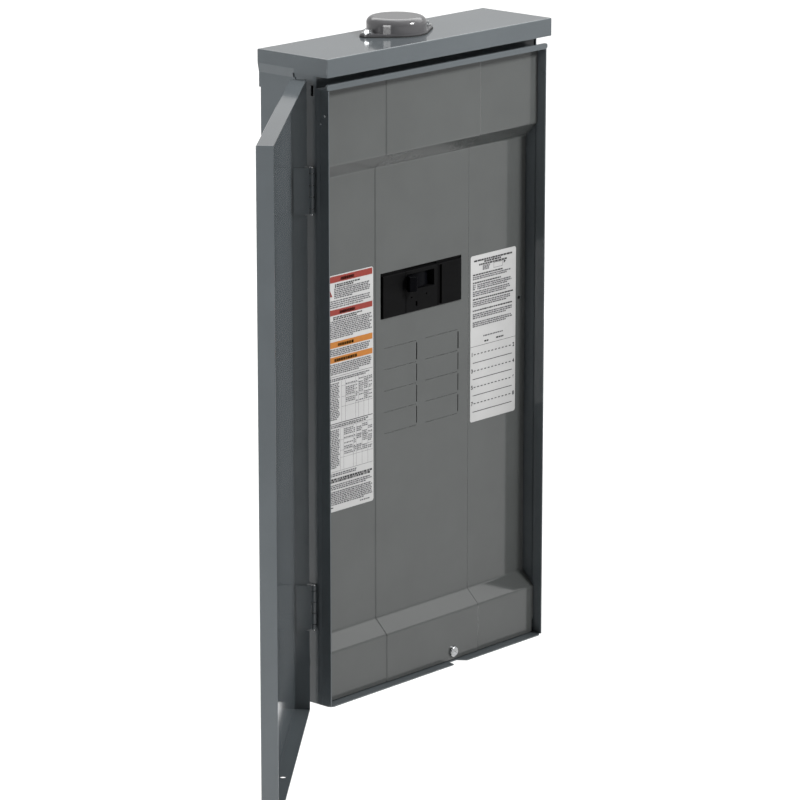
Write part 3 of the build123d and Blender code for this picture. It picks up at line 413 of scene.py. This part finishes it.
GREY, DARK, RED, ORANGE, WHITE = range(5)       # places in the list of inks
FINE = 0.95              # lower-case height of the fine print
LINE = 2.1               # its usual pitch
LEFT_SEED, RIGHT_SEED = 11, 23
TEXT_LEFT = 2.0
TEXT_TRIM = 3.0          # how much narrower than the left label its text is
BAND_LEFT = 1.2
BAND_TRIM = 2.6          # how much narrower than the left label its bands and rules are
TITLE_HEIGHT = 2.2


def print_table(page, chance, top, low, columns, rows):
    """Table with a heading, side notes, ruled columns at shares of the width, and entries."""
    wide = page.width
    inner = wide - TEXT_TRIM
    rule = 0.3
    page.paragraph(chance, TEXT_LEFT, top + 1.6, inner * 0.94, 2, 2.0, FINE, GREY, 0.9)
    page.paragraph(chance, 4.0, top + 7.0, inner * 0.26, int((low - top - 10) / LINE), LINE,
                   0.9, GREY, 0.8)
    for column in columns:
        page.bar(column * wide, top + 6.0, rule, low - top - 6.5, GREY)
    for row in rows:
        page.bar(columns[0] * wide, row, wide * (0.985 - columns[0]), rule, GREY)
    edges = list(columns) + [0.98]
    lines = int((rows[-1] - top - 8.0) / LINE)
    for left, right in zip(edges[1:-1], edges[2:]):
        for line in range(lines):
            if chance.random() < 0.72:
                page.words(chance, left * wide + 1.0, top + 8.0 + line * LINE,
                           (right - left) * wide - 1.6, 0.9, GREY, short=1.0, long=2.6)


def print_left_label(inks):
    """Coloured bands over blocks of fine print, two tables and closing lines."""
    chance = random.Random(LEFT_SEED)
    page = Print("label_left_print", "label_left", inks)
    wide = page.width
    inner = wide - TEXT_TRIM
    for down, height, band in ((1.2, 7.4, RED), (40.0, 6.8, RED),
                               (77.6, 7.2, ORANGE), (95.4, 6.8, ORANGE)):
        page.bar(BAND_LEFT, down, wide - BAND_TRIM, height, band)
    for down, across, length, word in ((3.6, 27.0, 24.0, WHITE), (42.2, 25.0, 26.0, WHITE),
                                       (80.0, 22.0, 28.0, DARK), (97.6, 16.0, 40.0, DARK)):
        page.words(chance, across, down, length, TITLE_HEIGHT, word, short=2.4, long=3.6)

    # first band: two bold lines and a block beside a triangle, then a full block
    page.paragraph(chance, 17.0, 10.6, 46.0, 2, 2.2, 1.1, DARK, 0.7)
    page.paragraph(chance, 16.0, 15.4, inner - 17.0, 6, LINE, FINE, GREY, 0.5)
    page.paragraph(chance, TEXT_LEFT, 29.4, inner, 4, 2.4, FINE, GREY, 0.8)
    page.shape(((3.0, 24.5), (8.0, 14.5), (13.0, 24.5)), RED)
    page.shape(((5.2, 23.2), (8.0, 17.4), (10.8, 23.2)), WHITE)

    # second to fourth band
    page.paragraph(chance, 14.0, 48.4, 50.0, 2, 2.2, 1.0, DARK, 0.8)
    for down, lines, last in ((53.2, 10, 0.6), (86.2, 4, 0.9), (103.8, 6, 0.7)):
        page.paragraph(chance, TEXT_LEFT, down, inner, lines, 2.15, FINE, GREY, last)

    page.bar(BAND_LEFT, 118.4, wide - BAND_TRIM, 0.45, DARK)
    print_table(page, chance, 119.0, 174.0, (0.34, 0.42, 0.63, 0.69, 0.80, 0.90),
                (131.0, 144.0, 155.5))
    print_table(page, chance, 174.0, 230.5, (0.31, 0.38, 0.58, 0.64, 0.76, 0.88),
                (180.0, 194.5, 207.0, 215.5))
    page.bar(BAND_LEFT, 173.6, wide - BAND_TRIM, 0.9, DARK)
    page.bar(BAND_LEFT, 230.5, wide - BAND_TRIM, 0.35, DARK)

    # closing lines, and a short line and a block at the foot
    page.paragraph(chance, TEXT_LEFT, 232.6, inner * 0.7, 2, LINE, FINE, GREY, 0.9)
    page.paragraph(chance, TEXT_LEFT, 238.6, inner, 2, 2.6, 1.5, DARK, 0.96)
    page.paragraph(chance, TEXT_LEFT, 246.0, inner, 3, 2.2, FINE, GREY, 0.85)
    page.paragraph(chance, TEXT_LEFT, 254.0, inner, 8, LINE, FINE, GREY, 0.8)
    page.words(chance, 58.0, 272.6, 18.0, 0.9, GREY)
    page.bar(TEXT_LEFT, 272.4, 11.0, 1.3, DARK)
    page.done()


ROW_TOP, ROW_PITCH, ROW_COUNT = 119.0, 19.9, 4  # dashed lines of the directory
DASH_LEFT, DASH_PITCH, DASH_COUNT = 6.2, 6.3, 11
DASH_LENGTH, DASH_HEIGHT = 3.3, 1.2
NUMBER_HEIGHT = 4.6
NUMBER_DROP = 2.4        # foot of a number below the dashes
ODD_LEFT = 1.6           # odd numbers from the left edge, even ones from the right
EVEN_RIGHT = 5.2
RULE_LEFT, RULE_TRIM, RULE_DROP, RULE_HEIGHT = 4.4, 10.4, 10.2, 0.85


def print_right_label(inks):
    """Plain instructions over a ruled directory of the eight branch spaces."""
    chance = random.Random(RIGHT_SEED)
    page = Print("label_right_print", "label_right", inks)
    wide = page.width

    # heading, then a block of small print beside a box with a pointer
    for down, across, length in ((5.6, 6.0, 68.0), (8.2, 24.0, 30.0), (11.0, 15.0, 50.0)):
        page.words(chance, across, down, length, 1.3, DARK, short=2.0, long=6.0)
    for line in range(4):
        page.words(chance, 21.5, 13.6 + 1.5 * line, 13.0, 0.8, GREY, short=1.4, long=3.0)
    for down in (13.4, 19.4):
        page.bar(41.0, down, 16.0, 0.4, DARK)
    for across in (41.0, 56.6):
        page.bar(across, 13.4, 0.4, 6.4, DARK)
    page.shape(((59.0, 12.6), (63.0, 14.8), (59.0, 17.0)), DARK)

    # bold lines and the blocks under them
    for down, length in ((22.4, 53.0), (32.0, 51.0), (52.0, 73.0), (65.6, 71.0)):
        page.words(chance, 4.0, down, length, 1.1, DARK, short=2.0, long=5.0)
    for down, lines, across in ((25.2, 2, 4.0), (35.0, 3, 12.0), (43.0, 3, 4.0), (55.4, 3, 4.0),
                                (70.0, 3, 4.0), (80.0, 3, 4.0)):
        page.paragraph(chance, across, down, wide - across - 6.0, lines, 2.3, 1.0, GREY, 0.85)
    page.paragraph(chance, 4.0, 35.0, 5.0, 3, 2.3, 1.0, GREY, 1.0)
    page.words(chance, 23.0, 98.6, 35.0, 0.9, GREY, short=2.0, long=5.0)
    page.words(chance, 25.0, 105.0, 9.0, 1.2, DARK, short=2.0, long=4.0)
    page.words(chance, 46.0, 104.4, 15.0, 1.2, DARK, short=2.0, long=5.0)

    page.bar(0.2, 109.6, wide - 0.4, 0.45, DARK)
    for row in range(ROW_COUNT):
        dashes = ROW_TOP + row * ROW_PITCH
        for dash in range(DASH_COUNT):
            page.bar(DASH_LEFT + dash * DASH_PITCH, dashes, DASH_LENGTH, DASH_HEIGHT, DARK)
        page.digit(str(2 * row + 1), ODD_LEFT, dashes + NUMBER_DROP, NUMBER_HEIGHT, DARK)
        page.digit(str(2 * row + 2), wide - EVEN_RIGHT, dashes + NUMBER_DROP, NUMBER_HEIGHT,
                   DARK)
        page.bar(RULE_LEFT, dashes + RULE_DROP, wide - RULE_TRIM, RULE_HEIGHT, DARK)
    page.done()


# ---- build ---------------------------------------------------------------------------
enclosure_paint = gloss_paint("enclosure_paint", ENCLOSURE_GREY, ENAMEL_GLOSS)
cover_paint = gloss_paint("cover_paint", COVER_GREY, ENAMEL_GLOSS)
cap_enamel = gloss_paint("cap_enamel", CAP_GREY, ENAMEL_GLOSS, peel=0.03, wave=0.03)
black_plastic = moulded_plastic("black_plastic", BREAKER_BLACK, 0.5, grain=0.2, specular=0.04)
handle_plastic = moulded_plastic("handle_plastic", HANDLE_BLACK, 0.42, grain=0.15, specular=0.03)
pale_plastic = moulded_plastic("pale_plastic", SUPPORT_CREAM, 0.5)
brown_plastic = moulded_plastic("brown_plastic", INSULATOR_BROWN, 0.45)
rubber = moulded_plastic("rubber", RUBBER_BLACK, 0.7, grain=0.5, specular=0.2)
zinc = plated_metal("zinc_plate", ZINC_BRIGHT, ZINC_DULL, 0.22)
tin = plated_metal("tin_plate", TIN_BRIGHT, TIN_DULL, 0.32)
green_paint = gloss_paint("green_paint", BONDING_GREEN, 0.3)
aluminium = drawn_metal("drawn_aluminium", BARE_ALUMINIUM, 0.33)
strap_metal = drawn_metal("strap_aluminium", BARE_ALUMINIUM, 0.33, (ALONG_GRAIN, 1.0, 1.0))
spangle = galvanized("galvanized_sheet", GALVANIZED_GREY, 0.34)
film = label_film("label_film")
print_inks = (ink("ink_grey", INK_GREY), ink("ink_dark", INK_DARK), ink("ink_red", INK_RED),
              ink("ink_orange", INK_ORANGE), ink("ink_white", INK_WHITE))

FINISHES = (
    (enclosure_paint, ("box_wrap", "bottom_end_wall", "rain_hood", "drip_rail", "door_pan",
                       "hinge_box_leaf_upper", "hinge_box_leaf_lower",
                       "hinge_door_leaf_upper", "hinge_door_leaf_lower")),
    (cover_paint, ("dead_front",)),
    (cap_enamel, ("hub_closing_cap",)),
    (black_plastic, ("window_filler_left", "window_filler_right", "main_breaker_cover",
                     "main_breaker_base")),
    (handle_plastic, ("main_breaker_handle",)),
    (rubber, ("hub_gasket",)),
    (zinc, ("hub_cap_screws", "dead_front_screw", "hinge_pin_upper", "hinge_pin_lower",
            "main_breaker_handle_pin", "lug_screws", "pan_screws", "neutral_screws")),
    (tin, ("bus_bar_left", "bus_bar_right")),
    (spangle, ("breaker_rail_left", "breaker_rail_right", "interior_pan")),
    (aluminium, ("neutral_bar_left", "neutral_bar_right", "line_lug_left", "line_lug_right",
                 "feed_lug_left", "feed_lug_right", "neutral_lug_supply", "neutral_lug_feed")),
    (strap_metal, ("neutral_strap",)),
    (pale_plastic, ("neutral_support_left", "neutral_support_right")),
    (brown_plastic, ("bus_insulator",)),
    (green_paint, ("bonding_screw",)),
    (film, ("label_left", "label_right")))
for material, nodes in FINISHES:
    for node in nodes:
        paint_node(node, material)

print_left_label(print_inks)
print_right_label(print_inks)


# ---- studio --------------------------------------------------------------------------
def hang(lamp_data, place, aim):
    """Put a light in the scene at a place, turned to shine at another."""
    lamp = bpy.data.objects.new(lamp_data.name, lamp_data)
    lamp.location = place
    lamp.rotation_euler = (Vector(aim) - Vector(place)).to_track_quat("-Z", "Y").to_euler()
    bpy.context.scene.collection.objects.link(lamp)


def area_light(name, place, aim, size, power):
    data = bpy.data.lights.new(name, "AREA")
    data.shape = "SQUARE"
    data.size = size
    data.energy = power
    hang(data, place, aim)


def spot_light(name, place, aim, cone, power, radius):
    """Soft-edged spot: its light fades towards the rim of the cone, in degrees."""
    data = bpy.data.lights.new(name, "SPOT")
    data.spot_size = math.radians(cone)
    data.spot_blend = 1.0
    data.energy = power
    data.shadow_soft_size = radius
    hang(data, place, aim)


def surroundings():
    """White all round and brighter above, but dark on the side the camera stands on."""
    world = bpy.data.worlds.new("studio")
    world.use_nodes = True
    tree = world.node_tree
    direction = tree.nodes.new("ShaderNodeTexCoord").outputs["Generated"]
    toward = tree.nodes.new("ShaderNodeVectorMath")
    toward.operation = "DOT_PRODUCT"
    toward.inputs[1].default_value = (-math.sin(CAMERA_YAW), -math.cos(CAMERA_YAW), 0.0)
    tree.links.new(direction, toward.inputs[0])
    parts = tree.nodes.new("ShaderNodeSeparateXYZ")
    tree.links.new(direction, parts.inputs["Vector"])
    level = spread(tree, toward.outputs["Value"], SKY, SKY * DARK_SIDE, DARK_FROM, DARK_TO)
    above = spread(tree, parts.outputs["Z"], 1.0, ZENITH, ZENITH_FROM, ZENITH_TO)
    strength = tree.nodes.new("ShaderNodeMath")
    strength.operation = "MULTIPLY"
    tree.links.new(level, strength.inputs[0])
    tree.links.new(above, strength.inputs[1])
    background = tree.nodes["Background"]
    background.inputs["Color"].default_value = (1.0, 1.0, 1.0, 1.0)
    tree.links.new(strength.outputs["Value"], background.inputs["Strength"])
    return world


def studio():
    """Pale floor, white surroundings and four soft lights."""
    floor_data = bpy.data.meshes.new("floor")
    level = CAD_BOX[0].z - FLOOR_DROP
    corners = [(x * FLOOR_REACH, y * FLOOR_REACH, level)
               for x, y in ((-1, -1), (1, -1), (1, 1), (-1, 1))]
    floor_data.from_pydata(corners, [], [(0, 1, 2, 3)])
    floor = bpy.data.objects.new("floor", floor_data)
    bpy.context.scene.collection.objects.link(floor)
    pale, _, surface = new_material("pale_floor")
    surface.inputs["Base Color"].default_value = (*FLOOR_WHITE, 1.0)
    surface.inputs["Roughness"].default_value = 0.9
    floor_data.materials.append(pale)

    bpy.context.scene.world = surroundings()

    centre = (CAD_BOX[0] + CAD_BOX[1]) / 2
    spot_light("key", KEY_PLACE, KEY_AIM, KEY_CONE, KEY_POWER, KEY_RADIUS)
    area_light("side", SIDE_PLACE, centre, SIDE_SIZE, SIDE_POWER)
    area_light("overhead", OVERHEAD_PLACE, centre, OVERHEAD_SIZE, OVERHEAD_POWER)
    area_light("backdrop", BACKDROP_PLACE, BACKDROP_AIM, BACKDROP_SIZE, BACKDROP_POWER)
    bpy.context.scene.view_settings.view_transform = "Standard"


def camera():
    """Camera at its distance from the target, level from side to side."""
    forward = Vector((math.cos(CAMERA_PITCH) * math.sin(CAMERA_YAW),
                      math.cos(CAMERA_PITCH) * math.cos(CAMERA_YAW),
                      -math.sin(CAMERA_PITCH)))
    data = bpy.data.cameras.new("camera")
    data.lens = CAMERA_LENS
    data.sensor_width = SENSOR_WIDTH
    data.clip_end = SIGHT_LIMIT
    view = bpy.data.objects.new("camera", data)
    view.location = CAMERA_TARGET - CAMERA_DISTANCE * forward
    view.rotation_euler = forward.to_track_quat("-Z", "Y").to_euler()
    bpy.context.scene.collection.objects.link(view)
    bpy.context.scene.camera = view


studio()
camera()
